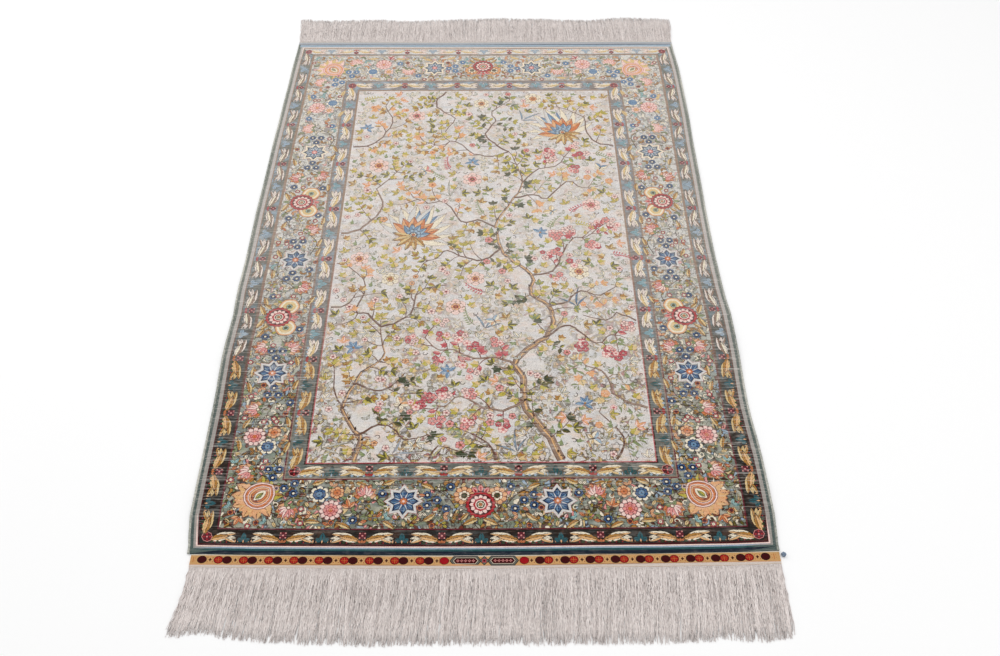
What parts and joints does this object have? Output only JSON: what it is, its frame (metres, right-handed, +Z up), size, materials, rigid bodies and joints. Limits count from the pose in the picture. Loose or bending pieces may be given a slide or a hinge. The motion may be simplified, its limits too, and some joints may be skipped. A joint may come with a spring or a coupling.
{
  "type": "silk pile rug",
  "caption": "Hand-knotted silk pile rug lying flat, with floral borders, overcast side cords, and a flat-woven band and a long warp fringe at each end.",
  "frame": {"origin": "on the floor, under the middle of the rug's outline, fringes included", "axes": "+X across the rug to the right as seen from its front end, +Y along the rug to its back end, +Z up out of the pile"},
  "size_m": [1.0282, 1.8146, 0.0088],
  "materials": {
    "pile_silk": "knotted silk pile, low sheen",
    "selvedge_silk": "overcast silk yarn",
    "front_band_weave": "flat silk weave with wrapped beads",
    "back_band_weave": "ribbed flat silk weave",
    "fringe_silk": "loose silk warp ends",
    "blue_yarn": "knotted silk yarn"
  },
  "bodies": {
    "root": {"pile": "pile_silk", "selvedge_left": "selvedge_silk", "selvedge_right": "selvedge_silk", "end_band_front": "front_band_weave", "end_band_back": "back_band_weave", "fringe_front": "fringe_silk", "fringe_back": "fringe_silk", "yarn_end": "blue_yarn"}
  },
  "joints": []
}
